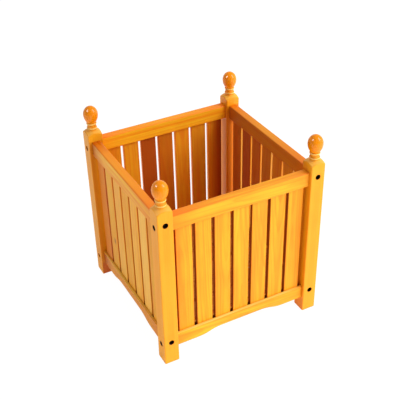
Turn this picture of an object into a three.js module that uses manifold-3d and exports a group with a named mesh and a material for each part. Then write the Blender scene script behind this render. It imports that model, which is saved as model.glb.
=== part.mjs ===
// A square slatted garden planter in stained softwood. Four corner posts are turned from
// square blanks, each with a domed shoulder, a beaded neck and an egg-shaped finial.
// Four side panels, each of two grooved rails and a row of slats, are screwed between them.
// A slatted floor lies on two bearers. Millimetres, +Z up, the front faces -Y, and the
// origin is on the ground at the middle of the footprint.

import * as THREE from "three";
import { mergeVertices } from "three/addons/utils/BufferGeometryUtils.js";
import Module from "manifold-3d";

// Whole frame
const frameWidth = 400; // over the outer faces of the posts, the same both ways
const fitGap = 0.3; // left between pieces that touch

// Corner posts
const postSize = 35; // side of the square blank
const postEdgeRadius = 2;
const shoulderHeight = 400; // ground to the corners of the square part
const shoulderRise = 9; // corners up to the neck
const shoulderBulge = 1.5; // how far the dome stands proud of a straight cone

// Finial, turned in one with the post
const neckRadius = 10.4;
const neckHeight = 20.5; // shoulder to the foot of the ball
const beadRadius = 2.2;
const lowBeadHeight = 6; // shoulder to the middle of each bead
const highBeadHeight = 17;
const ballRadius = 17;
const ballFootHeight = 19; // foot of the ball to its widest point
const ballCrownHeight = 20; // widest point to the top

// Rails
const railHeight = 35;
const railThickness = 20.5;
const railEdgeRadius = 2.5;
const bottomRailBase = 36; // ground to the flat ends of the bottom rail
const topRailBase = 350.5; // ground to the underside of the top rail
const archRise = 9.5; // hollow cut up into the bottom rail's lower edge
const archEnd = 51; // flat left at each end of the lower edge
const archSlope = 64; // run of the S-shaped step up to the full rise

// Slats
const slatCount = 7; // in each panel
const slatThickness = 9;
const slatGap = 7.2;
const slatEndGap = 8.6; // outermost slat to the post
const slatEdgeRadius = 1.5;
const grooveDepth = 7;

// Floor
const boardCount = 6;
const boardThickness = 12;
const boardGap = 8.4;
const boardEndGap = 1.5; // outermost board to the faces of the posts
const boardEdgeRadius = 1.5;
const floorHeight = 70; // ground to the top of the boards
const battenWidth = 30;
const battenThickness = 14;
const battenHousing = 2; // how far each batten is let into the boards
const battenInset = 70; // end of the boards to the outer side of a batten
const bearerWidth = 15;
const bearerHeight = 12;
const bearerEdgeRadius = 1;

// Screws with a hexagon socket, one through each post into each rail end
const screwStagger = 4.7; // above or below the rail's middle, so that crossing screws miss
const screwCounterboreRadius = 6;
const screwCounterboreDepth = 12;
const screwHeadRadius = 5;
const screwHeadHeight = 4.5;
const screwShankRadius = 3.5;
const screwShankLength = 66;
const screwTipRadius = 1.2;
const screwTipLength = 5;
const socketRadius = 2.6; // to the corners of the hexagon
const socketDepth = 3;

// Smoothness of round forms
const latheSides = 24;
const latheSteps = 3; // points on each curve of a turned outline, doubled on an ellipse
const boreSides = 12;
const screwSides = 12;
const edgeSteps = 1; // steps in each half of a rounded edge
const archSteps = 8;
const weldDistance = 1e-4;
const cutOver = 1; // how far a cutting tool runs past the face that it opens

// Places that follow from the sizes above
const halfFrame = frameWidth / 2;
const halfPost = postSize / 2;
const postLine = halfFrame - halfPost; // middle of the frame to the middle of a post or rail
const spanWidth = frameWidth - 2 * postSize; // clear width between two posts
const railLength = spanWidth - 2 * fitGap;
const bottomRailTop = bottomRailBase + railHeight;
const wallInnerFace = postLine - railThickness / 2;

const wood = { roughness: 0.45, metalness: 0 };
const postColour = new THREE.Color("#f0a83c");
const railColour = new THREE.Color("#e89a38");
const slatColours = ["#eba845", "#e39c3a", "#f0b04d", "#de9535"];
const floorColour = new THREE.Color("#c98436");
const screwColour = new THREE.Color("#17181a");

const wasm = await Module();
wasm.setup();

// A closed geometry as a solid that can be joined and cut.
function toSolid(geometry) {
  const bare = geometry.clone();
  bare.deleteAttribute("normal");
  bare.deleteAttribute("uv");
  const merged = mergeVertices(bare, weldDistance);
  const triVerts = new Uint32Array(merged.index.array);
  const vertProperties = merged.attributes.position.array;
  return new wasm.Manifold(new wasm.Mesh({ numProp: 3, vertProperties, triVerts }));
}

function toGeometry(solid) {
  const { numProp, vertProperties, triVerts } = solid.getMesh();
  const geometry = new THREE.BufferGeometry();
  geometry.setAttribute("position", new THREE.BufferAttribute(vertProperties, numProp));
  geometry.setIndex(new THREE.BufferAttribute(triVerts, 1));
  geometry.computeVertexNormals();
  return geometry;
}

function cut(geometry, tools) {
  const start = toSolid(geometry);
  return toGeometry(tools.reduce((solid, tool) => solid.subtract(toSolid(tool)), start));
}

function addMesh(group, name, geometry, colour, finish = wood) {
  const material = new THREE.MeshStandardMaterial({ color: colour, ...finish });
  const mesh = new THREE.Mesh(geometry, material);
  mesh.name = name;
  group.add(mesh);
  return mesh;
}

// A rectangle centred on the origin with its four corners rounded.
function roundedRectangle(width, height, radius) {
  const x = width / 2 - radius;
  const y = height / 2 - radius;
  const shape = new THREE.Shape();
  shape.absarc(x, y, radius, 0, Math.PI / 2);
  shape.absarc(-x, y, radius, Math.PI / 2, Math.PI);
  shape.absarc(-x, -y, radius, Math.PI, 1.5 * Math.PI);
  shape.absarc(x, -y, radius, 1.5 * Math.PI, 2 * Math.PI);
  return shape;
}

// A straight batten of a given section, from z = 0 up.
function extrudeUp(shape, length) {
  return new THREE.ExtrudeGeometry(shape, {
    depth: length,
    bevelEnabled: false,
    curveSegments: edgeSteps,
  });
}

// The same batten lying along X, middle at the origin, with the section's y still upwards in z.
function extrudeAlongX(shape, length) {
  const geometry = extrudeUp(shape, length);
  geometry.rotateX(Math.PI / 2);
  geometry.rotateZ(Math.PI / 2);
  geometry.translate(-length / 2, 0, 0);
  return geometry;
}

// A round bar that starts at the origin and runs along a unit direction in the XY plane.
function bar(radius, length, sides, direction) {
  const geometry = new THREE.CylinderGeometry(radius, radius, length, sides);
  geometry.rotateX(Math.PI / 2);
  geometry.rotateY(Math.PI / 2);
  geometry.translate(length / 2, 0, 0);
  geometry.rotateZ(Math.atan2(direction.y, direction.x));
  return geometry;
}

// Heights of the screws, which lie above the rails' middles in the panels to the left and
// right, and below them in the front and back panels.
function screwHeights(side) {
  return [bottomRailBase, topRailBase].map((base) => base + railHeight / 2 + side * screwStagger);
}

// The turned outline of a post, from the ground to the crown of its finial. It stays outside
// the blank's corners up to the shoulder, so the square part is left as it was.
function turnedOutline() {
  const cornerRadius = halfPost * Math.SQRT2;
  const clearRadius = cornerRadius + postEdgeRadius;
  const neckFoot = shoulderHeight + shoulderRise;
  const ballFoot = neckFoot + neckHeight;
  const ballWidest = ballFoot + ballFootHeight;
  const footAngle = -Math.acos(neckRadius / ballRadius);
  const footEllipse = ballFootHeight / Math.sin(-footAngle);
  const outline = new THREE.Path();
  outline.moveTo(0, 0);
  outline.lineTo(clearRadius, 0);
  outline.lineTo(clearRadius, shoulderHeight);
  outline.lineTo(cornerRadius, shoulderHeight);
  outline.quadraticCurveTo(
    (cornerRadius + neckRadius) / 2 + shoulderBulge,
    shoulderHeight + shoulderRise / 2 + shoulderBulge,
    neckRadius,
    neckFoot,
  );
  for (const bead of [lowBeadHeight, highBeadHeight]) {
    outline.lineTo(neckRadius, neckFoot + bead - beadRadius);
    outline.quadraticCurveTo(
      neckRadius + beadRadius,
      neckFoot + bead,
      neckRadius,
      neckFoot + bead + beadRadius,
    );
  }
  outline.lineTo(neckRadius, ballFoot);
  outline.absellipse(0, ballWidest, ballRadius, footEllipse, footAngle, 0);
  outline.absellipse(0, ballWidest, ballRadius, ballCrownHeight, 0, Math.PI / 2);
  const points = outline.getPoints(latheSteps);
  points[points.length - 1].x = 0;
  return points;
}

// A post stands on its own axis. outX and outY say which way its outer faces look.
function postGeometry(outX, outY) {
  const turned = new THREE.LatheGeometry(turnedOutline(), latheSides);
  turned.rotateX(Math.PI / 2);
  turned.rotateZ(Math.PI / latheSides);
  turned.computeBoundingBox();
  const blankLength = turned.boundingBox.max.z + 2 * cutOver;
  const blank = extrudeUp(roundedRectangle(postSize, postSize, postEdgeRadius), blankLength);
  blank.translate(0, 0, -cutOver);
  const post = toGeometry(toSolid(blank).intersect(toSolid(turned)));
  const tools = [];
  const inwards = [
    { direction: new THREE.Vector2(-outX, 0), heights: screwHeights(-1) },
    { direction: new THREE.Vector2(0, -outY), heights: screwHeights(1) },
  ];
  for (const { direction, heights } of inwards) {
    for (const height of heights) {
      const start = direction.clone().multiplyScalar(-halfPost - cutOver);
      const clearance = screwShankRadius + fitGap;
      const throughBore = bar(clearance, postSize + 2 * cutOver, boreSides, direction);
      const headDepth = screwCounterboreDepth + cutOver;
      const headBore = bar(screwCounterboreRadius, headDepth, boreSides, direction);
      for (const bore of [throughBore, headBore]) {
        bore.translate(start.x, start.y, height);
        tools.push(bore);
      }
    }
  }
  return cut(post, tools);
}

// The groove that takes the slats' ends, along the whole edge of a rail that faces them.
// up is +1 for a bottom rail, grooved on top, and -1 for a top rail, grooved underneath.
function grooveTool(up) {
  const width = slatThickness + 2 * fitGap;
  const groove = new THREE.BoxGeometry(railLength + 2 * cutOver, width, grooveDepth + cutOver);
  groove.translate(0, 0, (up * (railHeight - grooveDepth + cutOver)) / 2);
  return groove;
}

// The hollow under a bottom rail: level in the middle, with an S-shaped step near each end.
function archTool() {
  const foot = railLength / 2 - archEnd;
  const top = foot - archSlope;
  const mid = (foot + top) / 2;
  const base = -railHeight / 2;
  const outline = new THREE.Shape();
  outline.moveTo(-foot, base - cutOver);
  outline.lineTo(foot, base - cutOver);
  outline.lineTo(foot, base);
  outline.bezierCurveTo(mid, base, mid, base + archRise, top, base + archRise);
  outline.lineTo(-top, base + archRise);
  outline.bezierCurveTo(-mid, base + archRise, -mid, base, -foot, base);
  const depth = railThickness + 2 * cutOver;
  const arch = new THREE.ExtrudeGeometry(outline, {
    depth,
    bevelEnabled: false,
    curveSegments: archSteps,
  });
  arch.rotateX(Math.PI / 2);
  arch.translate(0, depth / 2, 0);
  return arch;
}

function railGeometry(isBottom, screwOffset) {
  const section = roundedRectangle(railThickness, railHeight, railEdgeRadius);
  const rail = extrudeAlongX(section, railLength);
  const tools = [grooveTool(isBottom ? 1 : -1)];
  if (isBottom) {
    tools.push(archTool());
  }
  const inRail = screwCounterboreDepth + screwHeadHeight + screwShankLength - postSize;
  for (const end of [-1, 1]) {
    const direction = new THREE.Vector2(-end, 0);
    const pilot = bar(screwShankRadius + fitGap, inRail + cutOver + fitGap, boreSides, direction);
    pilot.translate(end * (spanWidth / 2 + cutOver), 0, screwOffset);
    tools.push(pilot);
  }
  return cut(rail, tools);
}

// A screw along +X, from the outer face of its head at the origin to its tip.
function screwGeometry() {
  const length = screwHeadHeight + screwShankLength;
  const outline = new THREE.Path();
  outline.moveTo(0, 0);
  outline.lineTo(screwHeadRadius, 0);
  outline.lineTo(screwHeadRadius, screwHeadHeight);
  outline.lineTo(screwShankRadius, screwHeadHeight);
  outline.lineTo(screwShankRadius, length - screwTipLength);
  outline.lineTo(screwTipRadius, length);
  outline.lineTo(0, length);
  const body = new THREE.LatheGeometry(outline.getPoints(), screwSides);
  body.rotateZ(-Math.PI / 2);
  const socket = bar(socketRadius, socketDepth + cutOver, 6, new THREE.Vector2(1, 0));
  socket.translate(-cutOver, 0, 0);
  return cut(body, [socket]);
}

function addPosts(group) {
  for (const [depthName, outY] of [["front", -1], ["back", 1]]) {
    for (const [sideName, outX] of [["left", -1], ["right", 1]]) {
      const geometry = postGeometry(outX, outY);
      const post = addMesh(group, `post_${depthName}_${sideName}`, geometry, postColour);
      post.position.set(outX * postLine, outY * postLine, 0);
    }
  }
}

function addSlats(panel, side) {
  const usedWidth = spanWidth - 2 * slatEndGap;
  const slatWidth = (usedWidth - (slatCount - 1) * slatGap) / slatCount;
  const foot = bottomRailTop - grooveDepth + fitGap;
  const head = topRailBase + grooveDepth - fitGap;
  const section = roundedRectangle(slatWidth, slatThickness, slatEdgeRadius);
  for (let i = 0; i < slatCount; i += 1) {
    const colour = slatColours[i % slatColours.length];
    const slat = addMesh(panel, `${side}_slat_${i + 1}`, extrudeUp(section, head - foot), colour);
    const middle = (slatWidth - usedWidth) / 2 + i * (slatWidth + slatGap);
    slat.position.set(middle, -postLine, foot);
  }
}

// One side: its two rails, its slats and the screws at the four rail ends. stagger is +1
// where the screws lie above the rails' middles, and -1 where they lie below.
function addPanel(group, side, turn, stagger) {
  const panel = new THREE.Group();
  panel.rotation.z = turn;
  group.add(panel);
  const rails = [["bottom", bottomRailBase], ["top", topRailBase]];
  for (const [level, base] of rails) {
    const middle = base + railHeight / 2;
    const geometry = railGeometry(level === "bottom", stagger * screwStagger);
    const rail = addMesh(panel, `${side}_${level}_rail`, geometry, railColour);
    rail.position.set(0, -postLine, middle);
    for (const [endName, end] of [["left", -1], ["right", 1]]) {
      const finish = { roughness: 0.4, metalness: 0.8 };
      const name = `${side}_${level}_screw_${endName}`;
      const screw = addMesh(panel, name, screwGeometry(), screwColour, finish);
      const seat = screwCounterboreDepth - screwHeadHeight - fitGap;
      screw.position.set(end * (halfFrame - seat), -postLine, middle + stagger * screwStagger);
      screw.rotation.z = end > 0 ? Math.PI : 0;
    }
  }
  addSlats(panel, side);
}

// The floor: boards that run from side to side, joined by two battens underneath.
function addFloor(group) {
  const usedDepth = spanWidth - 2 * boardEndGap;
  const boardWidth = (usedDepth - (boardCount - 1) * boardGap) / boardCount;
  const boardLength = 2 * (wallInnerFace - fitGap);
  const section = roundedRectangle(boardWidth, boardThickness, boardEdgeRadius);
  const battenMiddle = boardLength / 2 - battenInset - battenWidth / 2;
  const battenLength = usedDepth - 2 * boardEdgeRadius;
  const battenTop = floorHeight - boardThickness + battenHousing;
  const parts = [];
  for (let i = 0; i < boardCount; i += 1) {
    const board = extrudeAlongX(section, boardLength);
    const middle = (boardWidth - usedDepth) / 2 + i * (boardWidth + boardGap);
    board.translate(0, middle, floorHeight - boardThickness / 2);
    parts.push(board);
  }
  for (const end of [-1, 1]) {
    const batten = new THREE.BoxGeometry(battenWidth, battenLength, battenThickness);
    batten.translate(end * battenMiddle, 0, battenTop - battenThickness / 2);
    parts.push(batten);
  }
  const joined = parts.map(toSolid).reduce((solid, part) => solid.add(part));
  addMesh(group, "slatted_floor", toGeometry(joined), floorColour);
}

// The bearers are fixed to the inner faces of the left and right bottom rails.
function addBearers(group) {
  const length = spanWidth - 2 * fitGap;
  const section = roundedRectangle(bearerWidth, bearerHeight, bearerEdgeRadius);
  const top = floorHeight - boardThickness - fitGap;
  for (const [sideName, side] of [["left", -1], ["right", 1]]) {
    const geometry = extrudeAlongX(section, length);
    const bearer = addMesh(group, `floor_bearer_${sideName}`, geometry, floorColour);
    bearer.rotation.z = Math.PI / 2;
    const middle = wallInnerFace - fitGap - bearerWidth / 2;
    bearer.position.set(side * middle, 0, top - bearerHeight / 2);
  }
}

const planter = new THREE.Group();
addPosts(planter);
addPanel(planter, "front", 0, -1);
addPanel(planter, "right", Math.PI / 2, 1);
addPanel(planter, "back", Math.PI, -1);
addPanel(planter, "left", -Math.PI / 2, 1);
addFloor(planter);
addBearers(planter);

export default planter;
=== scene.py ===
import math
import random

import bmesh
import bpy
from mathutils import Matrix, Vector


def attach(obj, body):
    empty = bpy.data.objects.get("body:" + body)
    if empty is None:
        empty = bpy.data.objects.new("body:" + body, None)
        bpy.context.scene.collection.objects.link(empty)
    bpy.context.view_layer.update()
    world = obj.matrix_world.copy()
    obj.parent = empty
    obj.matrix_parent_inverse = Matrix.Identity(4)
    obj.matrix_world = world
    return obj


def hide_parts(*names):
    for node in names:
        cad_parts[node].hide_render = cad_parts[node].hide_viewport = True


# A square slatted garden planter in stained and lacquered softwood. The sections follow its
# assembly: posts, rails, slats, panel screws, bearers, floor. Metres, +Z up, the front faces -Y.
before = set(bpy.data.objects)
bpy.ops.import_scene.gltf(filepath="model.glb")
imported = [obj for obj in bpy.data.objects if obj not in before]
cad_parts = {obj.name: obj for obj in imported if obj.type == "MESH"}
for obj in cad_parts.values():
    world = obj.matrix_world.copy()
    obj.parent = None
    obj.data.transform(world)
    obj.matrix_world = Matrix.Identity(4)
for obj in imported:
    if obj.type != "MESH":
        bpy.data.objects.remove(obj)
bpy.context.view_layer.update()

# ---------------------------------------------------------------------------------------------
# Corner posts. Each is one square blank of softwood, rounded along its edges, whose top is
# turned on a lathe into a domed shoulder, a neck with two beads and an egg-shaped finial. The
# end grain of the finial soaks up more stain. Screws go through its two outer faces.

post_line = 0.1825
post_half = 0.0175
post_corner = 0.002
post_foot_edge = 0.0009
foot_height = 0.036
shoulder_height = 0.400
shoulder_bulge = 0.0015
shoulder_edge = 0.0011
neck_foot = 0.409
neck_radius = 0.0104
bead_radius = 0.0118
bead_half = 0.0022
bead_heights = (0.415, 0.426)
ball_foot = 0.4295
ball_widest = 0.4485
ball_top = 0.4685
ball_radius = 0.017
bore_radius = 0.006
bore_depth = 0.012
bore_edge = 0.0006
shank_bore_radius = 0.0038
bottom_rail_middle = 0.0535
top_rail_middle = 0.368
# Screws through a post's side faces pass this far below a rail's middle, the others above it.
screw_stagger = 0.0047
# Rings round a post between which its stain and painted shade change, from the foot
# to just under its top.
stain_and_shade_rings = (0.004, 0.032, 0.042, 0.3845, 0.388)


def draw_out(name, section, steps):
    """A flat section drawn out along Z through the given heights, closed at both ends."""
    bpy.ops.object.select_all(action="DESELECT")
    bpy.ops.mesh.primitive_circle_add(vertices=len(section), fill_type="NGON")
    piece = bpy.context.object
    piece.name = piece.data.name = name
    for vertex, (x, y) in zip(piece.data.vertices, section):
        vertex.co = (x, y, steps[0])
    bpy.ops.object.mode_set(mode="EDIT")
    bpy.ops.mesh.select_all(action="SELECT")
    for low, high in zip(steps, steps[1:]):
        rise = {"value": (0, 0, high - low)}
        bpy.ops.mesh.extrude_region_move(TRANSFORM_OT_translate=rise)
    bpy.ops.mesh.select_all(action="SELECT")
    bpy.ops.mesh.normals_make_consistent(inside=False)
    bpy.ops.object.mode_set(mode="OBJECT")
    return piece


def move_each(piece, new_place):
    """Moves every point of a piece to new_place(x, y, z)."""
    for vertex in piece.data.vertices:
        vertex.co = new_place(*vertex.co)
    piece.data.update()


def turned_bar(name, steps, radii, sides):
    """A round bar about the Z axis that has those radii at those heights."""
    turns = [2 * math.pi * k / sides for k in range(sides)]
    bar = draw_out(name, [(math.cos(turn), math.sin(turn)) for turn in turns], steps)

    def shaped(x, y, z):
        step = min(range(len(steps)), key=lambda k: abs(steps[k] - z))
        return x * radii[step], y * radii[step], z

    move_each(bar, shaped)
    return bar


def round_over(piece):
    """Smooth shading, with an edge kept crisp where two faces meet at a steep angle."""
    steep = math.radians(35)
    bpy.ops.object.select_all(action="DESELECT")
    piece.select_set(True)
    bpy.context.view_layer.objects.active = piece
    bpy.ops.object.shade_smooth_by_angle(angle=steep)


def cut_with(piece, tool):
    """Cuts the tool's shape out of the piece and throws the tool away."""
    bpy.ops.object.select_all(action="DESELECT")
    piece.select_set(True)
    bpy.context.view_layer.objects.active = piece
    cutter = piece.modifiers.new("cut", "BOOLEAN")
    cutter.operation = "DIFFERENCE"
    cutter.solver = "EXACT"
    cutter.object = tool
    bpy.ops.object.modifier_apply(modifier=cutter.name)
    bpy.data.objects.remove(tool)


def evenly(x, y, z):
    """No stain added and no painted shade, anywhere."""
    return 0.0


def note_stain_and_shade(piece, soak_and_light=evenly, dark=evenly):
    """Keeps on each point its stain, which holds painted light and shade too, how sharp its
    edge is, and how dark its painted shade is.
    """
    shape = bmesh.new()
    shape.from_mesh(piece.data)
    values = []
    for vertex in shape.verts:
        normals = [face.normal for face in vertex.link_faces]
        # A bend counts as an edge from 9 degrees on, and in full from 21.
        bend = max((a.angle(b, 0) for a in normals for b in normals), default=0)
        sharpness = min(1.0, max(0.0, math.degrees(bend) - 9) / 12)
        values.extend((soak_and_light(*vertex.co), sharpness, dark(*vertex.co)))
    shape.free()
    stain_and_shade = piece.data.attributes.new("stain_and_shade", "FLOAT_VECTOR", "POINT")
    stain_and_shade.data.foreach_set("vector", values)


def own_copy(master):
    """A copy that has a mesh of its own."""
    piece = master.copy()
    piece.data = master.data.copy()
    bpy.context.scene.collection.objects.link(piece)
    return piece


def fit_piece(master, name, place, tone, stuff, slot, nodes=(), stain_and_shade=(), knot=(0, 0, 0), lean=0):
    """A copy of the master, set in place. The copy keeps its own coordinates, along the grain,
    across it and through it, and its tone: lighter, redder, and a number of its own. Across the
    grain it grows redder by lean to the metre. Its stain-and-shade makers note its stain, which
    holds painted light and shade too, and its painted shade."""
    piece = own_copy(master)
    piece.name = piece.data.name = name
    if stain_and_shade:
        note_stain_and_shade(piece, *stain_and_shade)
    points = [vertex.co for vertex in piece.data.vertices]
    lighter, redder, number = tone
    kept = {
        "place": [c for point in points for c in (point.z, point.x, point.y)],
        "tone": [c for point in points for c in (lighter, redder + lean * point.x, number)],
        "knot": list(knot) * len(points),
    }
    for key, values in kept.items():
        spots = piece.data.attributes.new(key, "FLOAT_VECTOR", "POINT")
        spots.data.foreach_set("vector", values)
    piece.data.transform(place)
    piece.data.materials.clear()
    piece.data.materials.append(stuff)
    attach(piece, "root")
    if nodes:
        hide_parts(*nodes)


def lay_node(tree, kind, inputs=None, **settings):
    """Adds a shader node. inputs holds values, or the sockets that feed them."""
    node = tree.nodes.new("ShaderNode" + kind)
    for setting, value in settings.items():
        setattr(node, setting, value)
    for socket, value in (inputs or {}).items():
        if isinstance(value, bpy.types.NodeSocket):
            tree.links.new(value, node.inputs[socket])
        else:
            node.inputs[socket].default_value = value
    return node


def work_out(tree, operation, *values):
    """One sum on numbers or sockets."""
    inputs = dict(enumerate(values))
    return lay_node(tree, "Math", inputs, operation=operation).outputs[0]


def blend_colours(tree, share, first, second, kind="MIX"):
    inputs = {0: share, 6: first, 7: second}
    node = lay_node(tree, "Mix", inputs, data_type="RGBA", blend_type=kind)
    return node.outputs[2]


def stretch(tree, value, low, high):
    """Spreads the range from low to high over 0 to 1."""
    inputs = {0: value, 1: low, 2: high, 3: 0.0, 4: 1.0}
    return lay_node(tree, "MapRange", inputs, interpolation_type="SMOOTHSTEP").outputs[0]


def streaks(tree, place, number, along, across, detail):
    """Noise drawn out along the grain: how many spots to a metre along it and across it."""
    scale = (along, across, across)
    drawn = lay_node(tree, "VectorMath", {0: place, 1: scale}, operation="MULTIPLY")
    inputs = {"Vector": drawn.outputs[0], "W": number, "Scale": 1.0, "Detail": detail}
    return lay_node(tree, "TexNoise", inputs, noise_dimensions="4D").outputs[0]


def make_pine():
    """Stained softwood under lacquer: growth rings about a heart beside the piece, fibres,
    streaks, knots, and stain that gathers in end grain and along edges. Painted light and
    painted shade are laid into the colour as well."""
    # Cream is pale bare wood and also painted light; the orange and the black are painted shade.
    pale_and_lit_cream = (1.0, 0.66, 0.17, 1)
    painted_shade_orange = (0.48, 0.08, 0.001, 1)
    knot_brown = (0.19, 0.075, 0.02, 1)
    painted_shade_black = (0.012, 0.006, 0.003, 1)
    # The heart's greatest distance to the side, its least and its added depth, and its slant.
    heart_side, heart_near, heart_far, heart_slant = 0.05, 0.014, 0.03, 0.09
    # How far broad waves, fine waves and a knot push the rings aside.
    wave_push, shiver_push, knot_push = 0.012, 0.0016, 0.007

    tree = bpy.data.node_groups.new("stained pine", "ShaderNodeTree")
    sockets = {
        ("INPUT", "NodeSocketColor"): ("Pale", "Band", "Deep"),
        ("INPUT", "NodeSocketFloat"): ("Ring Size", "Ring Depth", "Streak Depth", "Gloss", "Shine"),
        ("OUTPUT", "NodeSocketColor"): ("Colour",),
        ("OUTPUT", "NodeSocketFloat"): ("Roughness", "Height", "Lacquer"),
    }
    for (way_through, kind), names in sockets.items():
        for name in names:
            tree.interface.new_socket(name, in_out=way_through, socket_type=kind)
    given = tree.nodes.new("NodeGroupInput").outputs
    made = tree.nodes.new("NodeGroupOutput").inputs

    def kept(name):
        return lay_node(tree, "Attribute", attribute_name=name).outputs["Vector"]

    def held(value):
        """Keeps a value within 0 and 1."""
        return lay_node(tree, "Clamp", {0: value}).outputs[0]

    place, tone, stain_and_shade, knot = kept("place"), kept("tone"), kept("stain_and_shade"), kept("knot")
    along, across, through = lay_node(tree, "SeparateXYZ", {0: place}).outputs[:]
    light, red, number = lay_node(tree, "SeparateXYZ", {0: tone}).outputs[:]
    # The stain also carries painted light and painted shade; dark is painted shade.
    soak_and_light, edge, dark = lay_node(tree, "SeparateXYZ", {0: stain_and_shade}).outputs[:]
    knot_along, knot_across, knot_size = lay_node(tree, "SeparateXYZ", {0: knot}).outputs[:]
    shift = work_out(tree, "MULTIPLY", number, 40.0)

    # Distance from the knot's middle, in its own radii.
    from_along = work_out(tree, "SUBTRACT", along, knot_along)
    from_along = work_out(tree, "MULTIPLY", from_along, 0.6)
    from_across = work_out(tree, "SUBTRACT", across, knot_across)
    flat = lay_node(tree, "CombineXYZ", {0: from_along, 1: from_across}).outputs[0]
    reach = lay_node(tree, "VectorMath", {0: flat}, operation="LENGTH").outputs["Value"]
    size = work_out(tree, "MAXIMUM", knot_size, 1e-5)
    reach = work_out(tree, "DIVIDE", reach, size)
    round_knot = work_out(tree, "POWER", reach, 2.0)
    round_knot = work_out(tree, "ADD", round_knot, 1.0)
    round_knot = work_out(tree, "DIVIDE", 1.0, round_knot)
    in_knot = work_out(tree, "SUBTRACT", 1.0, stretch(tree, reach, 0.3, 1.2))

    # Growth rings. The heart lies behind the piece, and runs at a slight angle to it.
    heart_across = work_out(tree, "FRACT", work_out(tree, "MULTIPLY", number, 7.13))
    heart_across = work_out(tree, "SUBTRACT", heart_across, 0.5)
    heart_across = work_out(tree, "MULTIPLY", heart_across, heart_side)
    heart_depth = work_out(tree, "FRACT", work_out(tree, "MULTIPLY", number, 3.71))
    heart_depth = work_out(tree, "MULTIPLY_ADD", heart_depth, heart_far, heart_near)
    slope = work_out(tree, "FRACT", work_out(tree, "MULTIPLY", number, 11.3))
    slope = work_out(tree, "MULTIPLY", work_out(tree, "SUBTRACT", slope, 0.5), heart_slant)
    side = work_out(tree, "SUBTRACT", across, heart_across)
    deep = work_out(tree, "ADD", through, heart_depth)
    heart = lay_node(tree, "CombineXYZ", {0: side, 1: deep}).outputs[0]
    radius = lay_node(tree, "VectorMath", {0: heart}, operation="LENGTH").outputs["Value"]
    radius = work_out(tree, "MULTIPLY_ADD", along, slope, radius)
    wave = streaks(tree, place, shift, 5.0, 30.0, 1.0)
    radius = work_out(tree, "MULTIPLY_ADD", wave, wave_push, radius)
    shiver = streaks(tree, place, shift, 25.0, 160.0, 1.0)
    radius = work_out(tree, "MULTIPLY_ADD", shiver, shiver_push, radius)
    radius = work_out(tree, "MULTIPLY_ADD", round_knot, knot_push, radius)
    phase = work_out(tree, "FRACT", work_out(tree, "DIVIDE", radius, given["Ring Size"]))
    late = stretch(tree, phase, 0.25, 0.85)
    early = work_out(tree, "SUBTRACT", 1.0, stretch(tree, phase, 0.9, 1.0))
    rings = work_out(tree, "MULTIPLY", late, early)

    # Fibres, broad streaks that run a little across the piece, and clouds in the stain.
    slant = lay_node(tree, "CombineXYZ", {1: work_out(tree, "MULTIPLY", along, slope)}).outputs[0]
    slanted = lay_node(tree, "VectorMath", {0: place, 1: slant}, operation="ADD").outputs[0]
    fibre = stretch(tree, streaks(tree, place, shift, 9.0, 900.0, 3.0), 0.3, 0.7)
    streak = stretch(tree, streaks(tree, slanted, shift, 2.0, 130.0, 3.0), 0.42, 0.66)
    cloud = stretch(tree, streaks(tree, place, shift, 9.0, 22.0, 2.0), 0.35, 0.7)

    # How much stain each spot took, with painted light and shade added into it. Below nothing the
    # wood is cream and shows no rings: the pale wood of some planks, and painted light on ledges,
    # bead crests, shoulders and some slat edges.
    edge_share = work_out(tree, "MULTIPLY", edge, work_out(tree, "MULTIPLY_ADD", cloud, 0.3, 0.15))
    stain = work_out(tree, "ADD", soak_and_light, edge_share)
    stain = work_out(tree, "ADD", stain, red)
    stain = work_out(tree, "MULTIPLY_ADD", cloud, 0.10, stain)
    bare = held(work_out(tree, "MULTIPLY", stain, -1.0))
    marked = held(work_out(tree, "MULTIPLY_ADD", bare, -1.2, 1.0))
    mottle = work_out(tree, "MULTIPLY_ADD", cloud, 0.6, 0.5)
    ring_share = work_out(tree, "MULTIPLY", rings, given["Ring Depth"])
    ring_share = work_out(tree, "MULTIPLY", ring_share, mottle)
    ring_share = work_out(tree, "MULTIPLY", ring_share, marked)
    colour = blend_colours(tree, ring_share, given["Pale"], given["Band"])
    streak_share = work_out(tree, "MULTIPLY", streak, given["Streak Depth"])
    streak_share = work_out(tree, "MULTIPLY", streak_share, marked)
    colour = blend_colours(tree, streak_share, colour, given["Band"])
    amber = held(work_out(tree, "MULTIPLY", stain, 2.0))
    colour = blend_colours(tree, amber, colour, given["Band"])
    brown = held(work_out(tree, "MULTIPLY_ADD", stain, 2.0, -1.0))
    colour = blend_colours(tree, brown, colour, given["Deep"])
    colour = blend_colours(tree, bare, colour, pale_and_lit_cream)

    # Painted shade, in bores, grooves, gaps and on faces inside the planter, is first a deep
    # orange and then nearly black.
    shade = held(work_out(tree, "MULTIPLY", dark, 2.0))
    colour = blend_colours(tree, shade, colour, painted_shade_orange)
    hollow = held(work_out(tree, "MULTIPLY_ADD", dark, 2.0, -1.0))
    grey = work_out(tree, "MULTIPLY_ADD", light, 0.16, 0.97)
    grey = work_out(tree, "MULTIPLY_ADD", work_out(tree, "SUBTRACT", fibre, 0.5), 0.07, grey)
    grey = lay_node(tree, "CombineColor", {0: grey, 1: grey, 2: grey}).outputs[0]
    colour = blend_colours(tree, 1.0, colour, grey, "MULTIPLY")
    knot_share = work_out(tree, "MULTIPLY", in_knot, 0.5)
    colour = blend_colours(tree, knot_share, colour, knot_brown)
    tree.links.new(blend_colours(tree, hollow, colour, painted_shade_black), made["Colour"])

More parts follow.
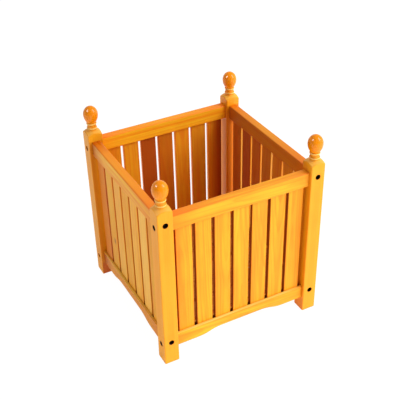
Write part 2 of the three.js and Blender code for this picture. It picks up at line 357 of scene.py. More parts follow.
    # End grain takes up so much lacquer that it is smooth, and shines.
    rough = work_out(tree, "MULTIPLY_ADD", fibre, 0.08, given["Gloss"])
    rough = work_out(tree, "MULTIPLY_ADD", rings, 0.05, rough)
    sealed = stretch(tree, soak_and_light, 0.5, 0.85)
    rough = work_out(tree, "MULTIPLY_ADD", sealed, -0.2, rough)
    tree.links.new(rough, made["Roughness"])
    height = work_out(tree, "MULTIPLY", work_out(tree, "ADD", rings, fibre), 0.5)
    filled = work_out(tree, "MULTIPLY_ADD", sealed, -0.9, 1.0)
    tree.links.new(work_out(tree, "MULTIPLY", height, filled), made["Height"])
    lacquer = work_out(tree, "MULTIPLY", sealed, given["Shine"])
    tree.links.new(lacquer, made["Lacquer"])
    return tree


def paint(red, green, blue):
    """A colour as a screen shows it, 0 to 255, in the light's own measure."""
    return [((c / 255 + 0.055) / 1.055) ** 2.4 for c in (red, green, blue)] + [1.0]


def make_wood(name, pale, band, deep, ring_size, ring_depth, streak_depth, gloss, shine):
    wood = bpy.data.materials.new(name)
    wood.use_nodes = True
    tree = wood.node_tree
    shader = tree.nodes["Principled BSDF"]
    look = tree.nodes.new("ShaderNodeGroup")
    look.node_tree = pine
    values = {
        "Pale": paint(*pale),
        "Band": paint(*band),
        "Deep": paint(*deep),
        "Ring Size": ring_size,
        "Ring Depth": ring_depth,
        "Streak Depth": streak_depth,
        "Gloss": gloss,
        "Shine": shine,
    }
    for socket, value in values.items():
        look.inputs[socket].default_value = value
    tree.links.new(look.outputs["Colour"], shader.inputs["Base Color"])
    tree.links.new(look.outputs["Roughness"], shader.inputs["Roughness"])
    relief = lay_node(tree, "Bump", {"Strength": 0.35, "Distance": 0.0004})
    tree.links.new(look.outputs["Height"], relief.inputs["Height"])
    tree.links.new(relief.outputs["Normal"], shader.inputs["Normal"])
    shader.inputs["IOR"].default_value = 1.33
    tree.links.new(look.outputs["Lacquer"], shader.inputs["Coat Weight"])
    shader.inputs["Coat Roughness"].default_value = 0.16
    return wood


pine = make_pine()
post_wood = make_wood(
    "post wood", pale=(252, 169, 24), band=(249, 158, 13), deep=(250, 144, 0),
    ring_size=0.0036, ring_depth=0.2, streak_depth=0.2, gloss=0.38, shine=0.12,
)


def post_section():
    """The blank's outline: points a few degrees apart on each face, and rounded corners."""
    points = []
    inner = post_half - post_corner
    apart = 6.5
    for quarter in range(4):
        turn = Matrix.Rotation(quarter * math.pi / 2, 2)
        for step in range(-6, 7):
            y = post_half * math.tan(math.radians(apart * step))
            points.append(turn @ Vector((post_half, y)))
        for step in range(5):
            angle = math.radians(22.5 * step)
            x = inner + post_corner * math.cos(angle)
            y = inner + post_corner * math.sin(angle)
            points.append(turn @ Vector((x, y)))
    return [tuple(point) for point in points]


def post_outline(reach):
    """Radius and height up one side of the post, where the blank's side is at reach."""

    def bend(t, first, second, third):
        """A point on the curve that leaves the first point towards the second."""
        shares = ((1 - t) ** 2, 2 * t * (1 - t), t * t)
        ends = (first, second, third)
        return tuple(sum(s * end[k] for s, end in zip(shares, ends)) for k in (0, 1))

    def dome(t):
        foot = (post_half * math.sqrt(2), shoulder_height)
        top = (neck_radius, neck_foot)
        side = ((foot[0] + top[0]) / 2 + shoulder_bulge, (foot[1] + top[1]) / 2 + shoulder_bulge)
        return bend(t, foot, side, top)

    # The face ends where the dome comes down to it, in an edge that is rounded off.
    tries = range(200, 401) if reach < dome(0.5)[0] else range(201)
    start = min((abs(dome(t / 400)[0] - reach), t / 400) for t in tries)[1]
    crease = dome(start)[1]
    edge_end = start + 0.07
    dome_end = 0.93
    points = [(reach - post_foot_edge, 0), (reach - post_foot_edge * 0.3, post_foot_edge * 0.3)]
    points += [(reach, post_foot_edge)] + [(reach, height) for height in stain_and_shade_rings]
    points.append((reach, crease - 0.004))
    edge = ((reach, crease - shoulder_edge), (reach, crease), dome(min(1.0, edge_end)))
    points += [bend(step / 4, *edge) for step in range(5)]
    for step in range(1, 9):
        points.append(dome(edge_end + (dome_end - edge_end) * step / 8))
    points += [(neck_radius + 0.0002, neck_foot + 0.0006), (neck_radius, neck_foot + 0.002)]
    for middle in bead_heights:
        points.append((neck_radius - 0.0004, middle - bead_half - 0.0003))
        for step in range(9):
            angle = math.pi * step / 8
            swell = (bead_radius - neck_radius) * math.sin(angle) ** 0.7
            points.append((neck_radius + swell, middle - bead_half * math.cos(angle)))
        points.append((neck_radius - 0.0004, middle + bead_half + 0.0003))
    lowest = math.acos(neck_radius / ball_radius)
    drop = (ball_widest - ball_foot) / math.sin(lowest)
    for step in range(1, 10):
        angle = -lowest + lowest * step / 9
        points.append((ball_radius * math.cos(angle), ball_widest + drop * math.sin(angle)))
    for step in range(1, 15):
        angle = math.radians(88.5) * step / 14
        rise = (ball_top - ball_widest) * math.sin(angle)
        points.append((ball_radius * math.cos(angle), ball_widest + rise))
    return points


def turn_post():
    """The bare post on its own axis, foot at the origin. The square blank is drawn out in equal
    steps, each step is moved to its place on the outline, and the top is drawn to a point."""
    outlines = {}
    count = len(post_outline(post_half))
    rise = 0.001
    post = draw_out("post", post_section(), [rise * step for step in range(count)])

    def turned(x, y, z):
        reach = math.hypot(x, y)
        key = round(reach, 7)
        if key not in outlines:
            outlines[key] = post_outline(reach)
        radius, height = outlines[key][round(z / rise)]
        return x * radius / reach, y * radius / reach, height

    move_each(post, turned)
    bpy.ops.object.mode_set(mode="EDIT")
    bpy.ops.mesh.select_all(action="DESELECT")
    bpy.ops.object.mode_set(mode="OBJECT")
    top_ring = max(vertex.co.z for vertex in post.data.vertices) - 1e-5
    for vertex in post.data.vertices:
        vertex.select = vertex.co.z > top_ring
    bpy.ops.object.mode_set(mode="EDIT")
    bpy.ops.mesh.merge(type="CENTER")
    bpy.ops.object.mode_set(mode="OBJECT")
    for vertex in post.data.vertices:
        if vertex.co.z > top_ring:
            vertex.co.z = ball_top
    return post


def drill(direction, height):
    """The shape of a counterbored screw hole, from the post's outer face inwards."""
    past = 0.001
    steps = [-past, 0.0, 0.0007, bore_depth, bore_depth + 0.0001, 2 * post_half + past]
    radii = [bore_radius + 0.0015, bore_radius + bore_edge, bore_radius, bore_radius]
    radii += [shank_bore_radius, shank_bore_radius]
    tool = turned_bar("drill", steps, radii, 32)
    inwards = Vector(direction)
    tool.data.transform(inwards.to_track_quat("Z", "Y").to_matrix().to_4x4())
    tool.data.transform(Matrix.Translation(-inwards * post_half + Vector((0, 0, height))))
    return tool


# The two inner faces, which the rails butt against, differ from the outer ones up to here:
# they are painted a deeper orange and painted shade.
panel_top = shoulder_height - 0.013
inner_face = -post_half + 0.0005
y_face_shade_soak = 0.42


def post_soak_and_light(out_x, out_y, x_face_shade_soak):
    """The finial's end grain drinks the stain, and the neck, its coves included, is a deeper
    orange. The beads' crests and the shoulder's dome are painted pale, a painted highlight of
    the light from above. The two inner faces are painted a deeper orange, a painted shade."""
    ball_start = ball_foot - 0.0006

    def soak_and_light(x, y, z):
        if z > ball_start:
            return 0.55 + 0.45 * min(1.0, (z - ball_start) / 0.006)
        if z > neck_foot + 0.0006:
            from_crest = min(abs(z - middle - 0.0004) for middle in bead_heights)
            # The crests, a little above the beads' middles, are painted pale: a painted highlight.
            return -0.9 if from_crest < 0.0016 else 0.5
        if z > panel_top:
            off_face = max(0.0, post_half - max(abs(x), abs(y)))
            # Painted highlight: the shoulder's dome grows paler away from the flat faces.
            return -0.3 * min(1.0, off_face / 0.003)
        # Painted shade: the inner faces take a deeper orange.
        if x * out_x < inner_face:
            return x_face_shade_soak
        return y_face_shade_soak if y * out_y < inner_face else 0.0

    return soak_and_light


def post_dark(out_x, out_y, x_shade, y_shade, foot_shade, bore_shade):
    """Painted shade: the walls of the bores are dark for the shade of their mouths, and the two
    inner faces for that of the panels, most of all at the foot."""

    def dark(x, y, z):
        less, more = sorted((abs(x), abs(y)))
        if less < bore_radius + 0.001 and more < post_half - 0.0004 and 0.04 < z < 0.385:
            return bore_shade if abs(x) > abs(y) else 1.0
        if z > panel_top or min(x * out_x, y * out_y) > inner_face:
            return 0.0
        shade = x_shade if x * out_x < inner_face else y_shade
        return shade + (foot_shade if z < foot_height else 0.0)

    return dark


bare_post = turn_post()
# How much lighter and redder than the rest, and a number for its own grain.
post_tones = {
    "front_left": (0.0, 0.0, 0.13),
    "front_right": (0.15, 0.0, 0.41),
    "back_left": (-0.5, 0.02, 0.77),
    "back_right": (0.3, 0.0, 0.92),
}
# Painted shade on the inner faces across X and across Y, how much more at the foot, and in the
# bores.
post_shades = {
    "front_left": (0.2, 0.2, 0.06, 1.0),
    "front_right": (0.05, 0.08, 0.14, 1.0),
    "back_left": (0.22, 0.17, 0.26, 0.35),
    "back_right": (0.08, 0.17, 0.06, 1.0),
}
for corner, post_tone in post_tones.items():
    out_y = -1 if "front" in corner else 1
    out_x = -1 if "left" in corner else 1
    bored = own_copy(bare_post)
    for inwards, offset in (((-out_x, 0, 0), -screw_stagger), ((0, -out_y, 0), screw_stagger)):
        for rail_middle in (bottom_rail_middle, top_rail_middle):
            cut_with(bored, drill(inwards, rail_middle + offset))
    # Painted shade as a deeper orange on the inner faces, weaker on the back right post's X face.
    x_face_shade_soak = 0.1 if corner == "back_right" else y_face_shade_soak
    shades = post_dark(out_x, out_y, *post_shades[corner])
    note_stain_and_shade(bored, post_soak_and_light(out_x, out_y, x_face_shade_soak), shades)
    round_over(bored)
    stand = Matrix.Translation((out_x * post_line, out_y * post_line, 0))
    node = "post_" + corner
    fit_piece(bored, "turned_" + node, stand, post_tone, post_wood, "post_wood", [node])
    bpy.data.objects.remove(bored)
bpy.data.objects.remove(bare_post)

# ---------------------------------------------------------------------------------------------
# Rails. Eight straight softwood bars between the posts, grooved along the edge that takes the
# slats. The bottom ones are hollowed underneath in a shallow arch with S-shaped ends. They are
# butted against the posts and held by a screw at each end.

rail_length = 0.3294
rail_height = 0.035
rail_thickness = 0.0205
rail_round = 0.0025
groove_half = 0.0048
groove_depth = 0.007
groove_lip = 0.0004
end_ease = 0.0005
arch_rise = 0.0095
arch_foot = 0.1137
arch_top = 0.0497


def rounded_box(width, thickness, radius):
    """A rectangle's outline with rounded corners, and a point on each side of a corner."""
    strip = 0.0012
    points = []
    for quarter, (sign_x, sign_y) in enumerate(((1, 1), (-1, 1), (-1, -1), (1, -1))):
        middle_x = sign_x * (width / 2 - radius)
        middle_y = sign_y * (thickness / 2 - radius)
        arc = []
        for step in range(5):
            angle = math.pi / 2 * quarter + math.radians(22.5 * step)
            arc.append((middle_x + radius * math.cos(angle), middle_y + radius * math.sin(angle)))
        first, last = arc[0], arc[-1]
        if quarter % 2 == 0:
            arc.insert(0, (first[0], first[1] - sign_y * strip))
            arc.append((last[0] - sign_x * strip, last[1]))
        else:
            arc.insert(0, (first[0] - sign_x * strip, first[1]))
            arc.append((last[0], last[1] - sign_y * strip))
        points += arc
    return points


def grooved_section():
    """A rail's outline, x up its height and y through it, with the groove in its +x edge."""
    box = rounded_box(rail_height, rail_thickness, rail_round)
    top = rail_height / 2
    groove = [
        (top, -groove_half - groove_lip),
        (top - groove_lip, -groove_half),
        (top - groove_depth, -groove_half),
        (top - groove_depth, groove_half),
        (top - groove_lip, groove_half),
        (top, groove_half + groove_lip),
    ]
    return groove + box


def ends_eased(length, inner):
    """Heights along a bar, with a narrow strip at each end for its eased edge."""
    half = length / 2
    strip = 0.002
    lower = [-half, -half + end_ease, -half + strip]
    return lower + inner + [half - strip, half - end_ease, half]


def ease_ends(piece, length):
    """Draws the two end faces in a little, so that their edges are broken."""
    half = length / 2

    def eased(x, y, z):
        if abs(z) < half - 1e-6:
            return x, y, z
        return x - math.copysign(end_ease, x), y - math.copysign(end_ease, y), z

    move_each(piece, eased)


def arch(along):
    """How far the lower edge of a bottom rail is cut up, at a distance from its middle. The
    S-shaped end is a curve that starts and ends level, met at the point that lies so far along."""
    wanted = min(1.0, max(0.0, (arch_foot - abs(along)) / (arch_foot - arch_top)))
    low, high = 0.0, 1.0
    for _ in range(30):
        t = (low + high) / 2
        run = 1.5 * t * (1 - t) + t ** 3
        low, high = (t, high) if run < wanted else (low, t)
    return arch_rise * t * t * (3 - 2 * t)


def make_rail(name, hollowed):
    slope = [arch_foot - (arch_foot - arch_top) * step / 14 for step in range(15)]
    inner = [0.02, 0.05, 0.1, 0.14] if not hollowed else slope + [0.02, 0.145]
    inner = sorted([-step for step in inner] + inner)
    rail = draw_out(name, grooved_section(), ends_eased(rail_length, inner))
    ease_ends(rail, rail_length)
    if hollowed:
        low = -rail_height / 2 + rail_round + 0.002

        def hollow(x, y, z):
            return (x + arch(z) if x < low else x), y, z

        move_each(rail, hollow)
    return rail


def rail_soak_and_light(top_share, slope=0.0):
    """Stain gathers at the ends and on the upper face of a top rail. The upper edge of a bottom
    one, which has no top_share, is painted pale: painted light from above."""
    end_soak = 0.25
    # Painted light: how much paler a bottom rail's upper edge is made.
    painted_ledge_light = 0.72

    def soak_and_light(x, y, z):
        from_end = rail_length / 2 - abs(z)
        gathered = end_soak * max(0.0, 1 - from_end / 0.05)
        if top_share is None:
            return gathered - (painted_ledge_light if x > rail_height / 2 - 0.0016 else 0.0)
        if -x > rail_height / 2 - 0.0022:
            gathered += top_share + slope * z + end_soak * max(0.0, 1 - from_end / 0.12)
        return gathered

    return soak_and_light


def rail_dark(inner_shade, fall, end, end_shade):
    """Painted shade: a rail's groove is dark for its own shade, and its inner face for that of
    the planter, which falls from one end to the other. end_shade is painted shade on the outer
    face, by the post at that end."""
    groove_shade = 0.9
    end_reach = 0.045

    def dark(x, y, z):
        if 0 < x < rail_height / 2 - 0.001 and abs(y) < groove_half + 0.0001:
            return groove_shade
        if y < 0.0008 - rail_thickness / 2:
            return inner_shade - fall * z / rail_length
        if x > rail_height / 2 - 0.003:
            return 0.0
        return end_shade * max(0.0, 1 - (rail_length / 2 - end * z) / end_reach)

    return dark


rail_wood = make_wood(
    "rail wood", pale=(252, 190, 30), band=(244, 144, 8), deep=(242, 122, 2),
    ring_size=0.0058, ring_depth=0.6, streak_depth=0.95, gloss=0.42, shine=0.0,
)
bottom_rail = make_rail("bottom rail", True)
round_over(bottom_rail)
top_rail = make_rail("top rail", False)
round_over(top_rail)

side_turns = {"front": 0, "right": 90, "back": 180, "left": 270}
# Tones of the bottom rail and of the top one.
rail_tones = {
    "front": ((0.05, -0.04, 0.35), (-0.05, 0.05, 0.61)),
    "right": ((-0.1, 0.2, 0.37), (-0.6, 0.3, 0.71)),
    "back": ((0.0, 0.1, 0.53), (0.4, 0.0, 0.83)),
    "left": ((-0.7, 0.3, 0.29), (0.0, 0.0, 0.97)),
}
# Stain on a top rail's upper face and how it changes along it, and painted shade on its
# inner one and how that falls along it.
top_stain_and_shade = {
    "front": (0.10, 1.2, 0.0, 0.0),
    "right": (0.12, 0.0, 0.15, 0.3),
    "back": (0.34, 0.0, 0.0, 0.0),
    "left": (0.42, 0.0, 0.0, 0.0),
}
lying = Matrix(((0, 0, 1), (0, -1, 0), (1, 0, 0))).to_4x4()
upside_down = Matrix(((0, 0, -1), (0, -1, 0), (-1, 0, 0))).to_4x4()
for side, degrees in side_turns.items():
    turn = Matrix.Rotation(math.radians(degrees), 4, "Z")
    low_tone, high_tone = rail_tones[side]
    # Painted shade on the left rails' outer faces, by the back post.
    end_shade = 0.42 if side == "left" else 0.0
    stain_and_shade = (rail_soak_and_light(None), rail_dark(inner_shade=0.0, fall=0.0, end=-1, end_shade=end_shade))
    spot = turn @ Matrix.Translation((0, -post_line, bottom_rail_middle)) @ lying
    node = side + "_bottom_rail"
    name = "arched_" + node
    fit_piece(bottom_rail, name, spot, low_tone, rail_wood, "rail_wood", [node], stain_and_shade)
    top_share, slope, inner_shade, fall = top_stain_and_shade[side]
    stain_and_shade = (rail_soak_and_light(top_share, slope), rail_dark(inner_shade, fall, 1, end_shade=end_shade))
    spot = turn @ Matrix.Translation((0, -post_line, top_rail_middle)) @ upside_down
    node = side + "_top_rail"
    name = "straight_" + node
    fit_piece(top_rail, name, spot, high_tone, rail_wood, "rail_wood", [node], stain_and_shade)
bpy.data.objects.remove(bottom_rail)
bpy.data.objects.remove(top_rail)

# ---------------------------------------------------------------------------------------------
# Slats. Twenty-eight thin boards, seven to a side, sawn from different planks, so their colour
# and grain differ. Their ends stand in the rails' grooves, a finger's width apart.

slat_length = 0.2929
slat_width = 0.0385
slat_thickness = 0.009
slat_pitch = 0.0457
slat_middle = 0.21075
slat_round = 0.0015
# The knot in the second slat on the left: along the slat, across it, and its radius.
slat_knot = (-0.059, 0.004, 0.0066)
# How much the painted shade inside falls across the first slat at the back.
back_fall = 0.7
slat = draw_out(
    "slat",
    rounded_box(slat_width, slat_thickness, slat_round),
    ends_eased(slat_length, [-0.12, 0.0, 0.12]),
)
ease_ends(slat, slat_length)
round_over(slat)
slat_wood = make_wood(
    "slat wood", pale=(252, 182, 26), band=(242, 134, 10), deep=(178, 58, 0),
    ring_size=0.0040, ring_depth=0.5, streak_depth=0.5, gloss=0.48, shine=0.0,
)

# As the planks came, from each side's left as seen from outside: lighter, redder, how much
# redder from one edge to the other, and the painted shade on the face inside the planter.
slat_tones = {
    "front": (
        (-0.05, 0.11, -0.35, 0.1), (0.05, 0.02, 0.0, 0.1), (0.0, 0.06, 0.1, 0.1),
        (0.1, 0.0, 0.0, 0.1), (-0.05, 0.09, -0.04, 0.1), (0.05, 0.0, 0.0, 0.1),
        (0.05, 0.12, 0.16, 0.1),
    ),
    "right": (
        (-0.1, 0.1, 0.0, 0.05), (-0.3, 0.05, 0.1, 0.02), (0.1, 0.15, 0.0, 0.15),
        (-0.1, 0.0, 0.0, 0.3), (0.0, 0.1, -0.1, 0.33), (-0.3, 0.2, 0.0, 0.43),
        (0.05, 0.05, 0.1, 0.35),
    ),
    "back": (
        (0.0, 0.1, 0.0, 0.34), (0.0, 0.0, 0.1, 0.18), (0.1, 0.05, 0.0, 0.08),
        (-0.2, 0.15, 0.0, 0.34), (-0.6, 0.25, 0.0, 0.48), (-0.2, 0.0, 0.1, 0.07),
        (-0.1, 0.1, 0.0, 0.14),
    ),
    "left": (
        (-0.7, 0.36, 0.0, 0.1), (-0.5, -0.1, 0.1, 0.1), (-0.2, -0.26, 0.0, 0.1),
        (-0.4, -0.1, 0.0, 0.1), (0.0, -0.15, 0.1, 0.1), (0.1, -0.4, 0.0, 0.1),
        (-0.4, -0.02, 0.1, 0.1),
    ),
}

# Painted light and shade on the edges that face the gaps: a stain, below nothing where light
# through the gap is painted on and above it where they lie in shade, then a painted shade; and
# how far across the slat those begin.
gap_light_and_shade = {"front": (0.2, 0.62), "right": (-0.4, 0.0), "back": (-0.1, 0.0), "left": (0.2, 0.35)}
gap_face = slat_width / 2 - 0.0004


# Painted light and shade on the gap edges, carried as stain.
def slat_soak_and_light(edge_soak_and_light):
    return lambda x, y, z: edge_soak_and_light if abs(x) > gap_face else 0.0


def slat_dark(edge_shade, inner_shade, fall):
    """Painted shade on the gap edges, and on the inner face, falling from one edge to the other."""

    def dark(x, y, z):
        if abs(x) > gap_face:
            return edge_shade
        shade = inner_shade - fall * x / slat_width
        return shade if y > slat_thickness / 2 - 0.0005 else 0.0

    return dark


shuffle = random.Random(7)
for side, degrees in side_turns.items():
    turn = Matrix.Rotation(math.radians(degrees), 4, "Z")
    edge_soak_and_light, edge_shade = gap_light_and_shade[side]
    for count in range(7):
        lighter, redder, spread, inner_shade = slat_tones[side][count]
        fall = back_fall if (side, count) == ("back", 0) else 0.0
        stain_and_shade = (slat_soak_and_light(edge_soak_and_light), slat_dark(edge_shade, inner_shade, fall))
        tone = (lighter, redder, shuffle.random())
        knot = slat_knot if (side, count) == ("left", 1) else (0, 0, 0)
        spot = turn @ Matrix.Translation(((count - 3) * slat_pitch, -post_line, slat_middle))
        node = f"{side}_slat_{count + 1}"
        extras = {"stain_and_shade": stain_and_shade, "knot": knot, "lean": spread / slat_width}
        fit_piece(slat, "stained_" + node, spot, tone, slat_wood, "slat_wood", [node], **extras)
bpy.data.objects.remove(slat)

# ---------------------------------------------------------------------------------------------
# Panel screws. Sixteen black steel screws with a hexagon socket, one through each post into
# each rail end. Their heads lie at the bottom of the posts' counterbores.

screw_head_radius = 0.005
screw_head_height = 0.0045
screw_shank_radius = 0.0035
screw_length = 0.0705
screw_tip_length = 0.005
screw_tip_radius = 0.0012
screw_seat = 0.0072
socket_radius = 0.0026
socket_depth = 0.003
screw_steps = [0, 0.0006, screw_head_height, screw_head_height + 0.0002]
screw_steps += [screw_length - screw_tip_length, screw_length]
screw_radii = [0.0043, screw_head_radius, screw_head_radius, screw_shank_radius]
screw_radii += [screw_shank_radius, screw_tip_radius]
screw = turned_bar("screw", screw_steps, screw_radii, 28)
bpy.ops.object.select_all(action="DESELECT")
key_length = 0.008
key_middle = (0, 0, socket_depth - key_length / 2)
bpy.ops.mesh.primitive_cylinder_add(
    vertices=6, radius=socket_radius, depth=key_length, location=key_middle
)
cut_with(screw, bpy.context.object)
round_over(screw)


def make_metal(name, dull, bright, roughness, metallic):
    """Metal with fine specks, lighter and smoother where it has been rubbed."""
    metal = bpy.data.materials.new(name)
    metal.use_nodes = True
    tree = metal.node_tree
    shader = tree.nodes["Principled BSDF"]
    spot = lay_node(tree, "TexCoord").outputs["Object"]
    specks = lay_node(tree, "TexNoise", {"Vector": spot, "Scale": 900.0, "Detail": 3.0}).outputs[0]
    rubbed = stretch(tree, specks, 0.35, 0.7)
    colour = blend_colours(tree, rubbed, dull, bright)
    tree.links.new(colour, shader.inputs["Base Color"])
    rough = work_out(tree, "MULTIPLY_ADD", rubbed, -0.15, roughness)
    tree.links.new(rough, shader.inputs["Roughness"])
    relief = lay_node(tree, "Bump", {"Strength": 0.2, "Distance": 0.0002, "Height": specks})
    tree.links.new(relief.outputs["Normal"], shader.inputs["Normal"])
    shader.inputs["Metallic"].default_value = metallic
    return metal


steel = make_metal(
    "screw steel", dull=(0.004, 0.004, 0.005, 1), bright=(0.02, 0.019, 0.018, 1),
    roughness=0.6, metallic=0.3,
)
for side, degrees in side_turns.items():
    turn = Matrix.Rotation(math.radians(degrees), 4, "Z")
    stagger = -screw_stagger if side in ("front", "back") else screw_stagger
    for level, height in (("bottom", bottom_rail_middle), ("top", top_rail_middle)):
        for end_name, end in (("left", -1), ("right", 1)):
            reach = end * (post_line + post_half - screw_seat)
            spot = Matrix.Translation((reach, -post_line, height + stagger))
            aim = Vector((-end, 0, 0)).to_track_quat("Z", "Y").to_matrix().to_4x4()
            node = f"{side}_{level}_screw_{end_name}"
            name = "black_" + node
            fit_piece(screw, name, turn @ spot @ aim, (0, 0, 0), steel, "screw_steel", [node])
bpy.data.objects.remove(screw)

# ---------------------------------------------------------------------------------------------
# Bearers. Two strips of wood on the inner faces of the left and right bottom rails, which carry
# the floor. Each is fixed by four countersunk screws.

bearer_length = 0.3294
bearer_width = 0.015
bearer_thickness = 0.012
bearer_round = 0.001
bearer_line = 0.16445
bearer_middle = 0.0517
bearer = draw_out(
    "bearer",
    rounded_box(bearer_width, bearer_thickness, bearer_round),
    ends_eased(bearer_length, [-0.1, 0.1]),
)
ease_ends(bearer, bearer_length)
floor_wood = make_wood(
    "floor wood", pale=(226, 160, 72), band=(200, 116, 38), deep=(176, 84, 20),
    ring_size=0.005, ring_depth=0.6, streak_depth=0.6, gloss=0.5, shine=0.0,
)
across_the_floor = Matrix(((-1, 0, 0), (0, 0, 1), (0, 1, 0))).to_4x4()

# Their screws have a flat head with a cross recess, and a zinc coat.
bearer_screw_spots = (-0.145, -0.05, 0.05, 0.145)
zinc = make_metal(
    "zinc", dull=(0.34, 0.33, 0.29, 1), bright=(0.62, 0.60, 0.53, 1), roughness=0.5, metallic=0.9
)
bearer_screw = turned_bar(
    "bearer screw",
    [0, 0.0003, 0.0025, 0.0215, 0.025],
    [0.0027, 0.003, 0.0014, 0.0014, 0.0002],
    20,
)
arm, rib = 0.0017, 0.0004
recess = [(arm, -rib), (arm, rib), (rib, rib), (rib, arm), (-rib, arm), (-rib, rib)]
recess += [(-arm, rib), (-arm, -rib), (-rib, -rib), (-rib, -arm), (rib, -arm), (rib, -rib)]
cut_with(bearer_screw, draw_out("recess", recess, [-0.001, 0.0012]))
round_over(bearer_screw)
for side, out_x in (("left", -1), ("right", 1)):
    spot = Matrix.Translation((out_x * bearer_line, 0, bearer_middle)) @ across_the_floor
    aim = Vector((-out_x, 0, 0)).to_track_quat("Z", "Y").to_matrix().to_4x4()
    sunk = own_copy(bearer)
    for count, along in enumerate(bearer_screw_spots):
        seat = Matrix.Translation((out_x * bearer_width / 2, 0, along)) @ aim
        tool = turned_bar(
            "countersink", [-0.0008, 0, 0.0026, 0.016], [0.0039, 0.0032, 0.0016, 0.0016], 20
        )
        tool.data.transform(seat)
        cut_with(sunk, tool)
        name = f"bearer_screw_{side}_{count + 1}"
        fit_piece(bearer_screw, name, spot @ seat, (0, 0, 0), zinc, "screw_steel")
    note_stain_and_shade(sunk)
    round_over(sunk)
    node = "floor_bearer_" + side
    bearer_tone = (-0.1, 0.1, 0.45 + 0.2 * out_x)
    fit_piece(sunk, "strip_" + node, spot, bearer_tone, floor_wood, "floor_wood", [node])
    bpy.data.objects.remove(sunk)
bpy.data.objects.remove(bearer)
bpy.data.objects.remove(bearer_screw)

# ---------------------------------------------------------------------------------------------
# Floor. Six boards from side to side with gaps that let water out, pinned to two battens
# underneath. It rests with the boards' ends on the bearers.

board_length = 0.3439
board_width = 0.0475
board_thickness = 0.012
board_round = 0.0015
board_pitch = 0.0559
floor_top = 0.070
board = draw_out(
    "board",
    rounded_box(board_width, board_thickness, board_round),
    ends_eased(board_length, [-0.12, 0.0, 0.12]),
)
ease_ends(board, board_length)
note_stain_and_shade(board)
round_over(board)
along_the_floor = Matrix(((0, 0, 1), (1, 0, 0), (0, 1, 0))).to_4x4()
board_middle = floor_top - board_thickness / 2
board_tones = ((0.1, 0.1), (-0.2, 0.2), (0.2, 0), (0, 0.15), (-0.3, 0.25), (0.1, 0.05))
for count, (lighter, redder) in enumerate(board_tones):
    spot = Matrix.Translation((0, (count - 2.5) * board_pitch, board_middle)) @ along_the_floor
    board_tone = (lighter, redder, shuffle.random())
    nodes = ["slatted_floor"] if count == 0 else []
    name = f"floor_board_{count + 1}"
    fit_piece(board, name, spot, board_tone, floor_wood, "floor_wood", nodes)
bpy.data.objects.remove(board)

batten_length = 0.324
batten_width = 0.03
batten_thickness = 0.012
batten_round = 0.0008
batten_line = 0.08695
batten_middle = floor_top - board_thickness - batten_thickness / 2
batten = draw_out(
    "batten",
    rounded_box(batten_width, batten_thickness, batten_round),
    ends_eased(batten_length, [-0.1, 0.1]),
)
ease_ends(batten, batten_length)
note_stain_and_shade(batten)
round_over(batten)
for count, out_x in enumerate((-1, 1)):
    spot = Matrix.Translation((out_x * batten_line, 0, batten_middle)) @ across_the_floor
    batten_tone = (-0.2, 0.1, shuffle.random())
    name = f"floor_batten_{count + 1}"
    fit_piece(batten, name, spot, batten_tone, floor_wood, "floor_wood")
bpy.data.objects.remove(batten)

# Two pins go through each board into each batten, one either side of the batten's middle line.
pin_step_x = 0.006
pin_step_y = 0.014
pin = turned_bar(
    "pin",
    [-0.018, -0.016, -0.0001, 0.0, 0.0004, 0.0006],
    [0.0002, 0.0008, 0.0008, 0.0016, 0.0015, 0.0007],
    16,
)
round_over(pin)
for board_count in range(6):
    for batten_count, out_x in enumerate((-1, 1)):
        for pin_count, step in enumerate((-1, 1)):
            x = out_x * batten_line + step * pin_step_x
            y = (board_count - 2.5) * board_pitch + step * pin_step_y
            name = f"board_pin_{board_count + 1}_{2 * batten_count + pin_count + 1}"
            spot = Matrix.Translation((x, y, floor_top))
            fit_piece(pin, name, spot, (0, 0, 0), zinc, "screw_steel")
bpy.data.objects.remove(pin)

# ---------------------------------------------------------------------------------------------
# Studio. A pale floor that runs into a white background. Soft light comes from the front
# right, from above, behind and the left, and a soft lamp hangs on the right. Two small lamps
# show only as glints.

bpy.ops.object.select_all(action="DESELECT")
bpy.ops.mesh.primitive_circle_add(vertices=96, radius=6, fill_type="NGON", location=(0, 0, -0.0002))
ground = bpy.context.object
ground.name = ground.data.name = "studio_floor"
ground_paint = bpy.data.materials.new("studio floor")
ground_paint.use_nodes = True
ground_tree = ground_paint.node_tree
ground_tree.nodes.remove(ground_tree.nodes["Principled BSDF"])
# How strongly it glows to the eye, how much of that shows in a mirror, what it throws back
# onto the planter, and the share of it that takes no shadow.
ground_glow, mirror_share, thrown_back, shadowless = 1.08, 0.36, 0.65, 0.9
matt = lay_node(ground_tree, "BsdfDiffuse", {"Color": (0.86, 0.86, 0.86, 1)})
glow = lay_node(ground_tree, "Emission", {"Color": (1, 1, 1, 1), "Strength": ground_glow})
ray = lay_node(ground_tree, "LightPath")
mirrored = work_out(ground_tree, "MULTIPLY", ray.outputs["Is Glossy Ray"], mirror_share)
seen = work_out(ground_tree, "MAXIMUM", ray.outputs["Is Camera Ray"], mirrored)
seen = work_out(ground_tree, "MAXIMUM", seen, ray.outputs["Is Transmission Ray"])
spill = work_out(ground_tree, "MULTIPLY", ray.outputs["Is Diffuse Ray"], thrown_back)
faint = lay_node(ground_tree, "Emission", {"Color": (1, 1, 1, 1), "Strength": spill})
lit = lay_node(ground_tree, "AddShader", {0: matt.outputs[0], 1: faint.outputs[0]})
share = work_out(ground_tree, "MULTIPLY", seen, shadowless)
mixed = lay_node(ground_tree, "MixShader", {0: share, 1: lit.outputs[0], 2: glow.outputs[0]})
ground_out = ground_tree.nodes["Material Output"].inputs["Surface"]
ground_tree.links.new(mixed.outputs[0], ground_out)
ground.data.materials.append(ground_paint)

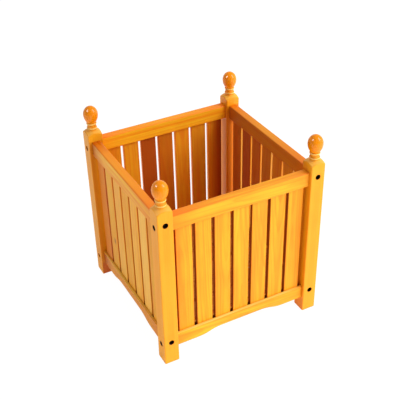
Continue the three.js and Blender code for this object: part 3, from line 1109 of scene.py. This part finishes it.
world = bpy.data.worlds.new("studio")
bpy.context.scene.world = world
world.use_nodes = True
air = world.node_tree
sky = air.nodes["Background"]
sky.inputs["Color"].default_value = (1, 1, 1, 1)
way = lay_node(air, "TexCoord").outputs["Generated"]


def soft_light(towards, level):
    """A broad glow in the air about that direction."""
    beam = {0: way, 1: Vector(towards).normalized()}
    facing = lay_node(air, "VectorMath", beam, operation="DOT_PRODUCT").outputs["Value"]
    return work_out(air, "MULTIPLY", stretch(air, facing, 0.5, 1.0), level)


further_lights = (
    ((0.60, 0.10, 0.79), 0.6),
    ((0.15, 0.80, 0.55), 0.8),
    ((-0.70, -0.25, 0.66), 0.42),
    ((-0.10, -0.10, 1.0), 0.25),
)
strength = soft_light((0.60, -0.75, 0.25), 1.2)
for towards, level in further_lights:
    strength = work_out(air, "ADD", strength, soft_light(towards, level))

# Smooth surfaces mirror a plainer air, which is darker aloft and in front.
behind = lay_node(air, "VectorMath", {0: way, 1: (-0.3, -0.7, 0.65)}, operation="DOT_PRODUCT")
behind = stretch(air, behind.outputs["Value"], -0.2, 0.6)
aloft = stretch(air, lay_node(air, "SeparateXYZ", {0: way}).outputs[2], 0.05, 0.55)
reflected = work_out(air, "MULTIPLY_ADD", aloft, -0.6, 1.0)
reflected = work_out(air, "MULTIPLY", reflected, work_out(air, "MULTIPLY_ADD", behind, -0.9, 1.0))
air_ray = lay_node(air, "LightPath")
glossy = air_ray.outputs["Is Glossy Ray"]
strength = lay_node(air, "Mix", {0: glossy, 2: strength, 3: reflected}).outputs[0]

# To the eye the air is white.
direct = (air_ray.outputs["Is Camera Ray"], air_ray.outputs["Is Transmission Ray"])
air_seen = work_out(air, "MAXIMUM", *direct)
strength = lay_node(air, "Mix", {0: air_seen, 2: strength, 3: 1.0}).outputs[0]
air.links.new(strength, sky.inputs["Strength"])


def hang_lamp(name, towards, away, width, height, power):
    """A soft box in that direction from the finials, turned to face them."""
    lamp = bpy.data.lights.new(name, "AREA")
    lamp.shape = "RECTANGLE"
    lamp.size = width
    lamp.size_y = height
    lamp.energy = power
    holder = bpy.data.objects.new(name, lamp)
    bpy.context.scene.collection.objects.link(holder)
    direction = Vector(towards).normalized()
    holder.location = direction * away + Vector((0, 0, 0.3))
    holder.rotation_mode = "QUATERNION"
    holder.rotation_quaternion = direction.to_track_quat("Z", "Y")
    holder.visible_camera = False
    return holder


from_left, from_right = (-0.70, 0.04, 0.62), (0.58, -0.50, 0.62)
hang_lamp("right lamp", from_right, away=5.0, width=1.9, height=3.1, power=138)
left_glint = hang_lamp("left glint", from_left, away=2.4, width=0.52, height=0.52, power=42)
left_glint.visible_diffuse = False
right_glint = hang_lamp("right glint", from_right, away=2.4, width=0.45, height=0.9, power=7)
right_glint.visible_diffuse = False

# The camera stands where the photo was taken from.
eye = Vector((-0.69704, -1.34547, 1.27048))
gaze = Vector((0.38208782, 0.73859548, -0.55541481)).normalized()
flat_right = gaze.cross(Vector((0, 0, 1))).normalized()
flat_up = flat_right.cross(gaze)
roll = math.radians(-1.312)
right = flat_right * math.cos(roll) + flat_up * math.sin(roll)
upward = flat_up * math.cos(roll) - flat_right * math.sin(roll)
lens = bpy.data.cameras.new("camera")
lens.lens = 70.364
lens.sensor_width = 36
camera = bpy.data.objects.new("camera", lens)
bpy.context.scene.collection.objects.link(camera)
camera.rotation_mode = "QUATERNION"
camera.rotation_quaternion = Matrix((right, upward, -gaze)).transposed().to_quaternion()
camera.location = eye
bpy.context.scene.camera = camera
bpy.context.scene.view_settings.view_transform = "Standard"
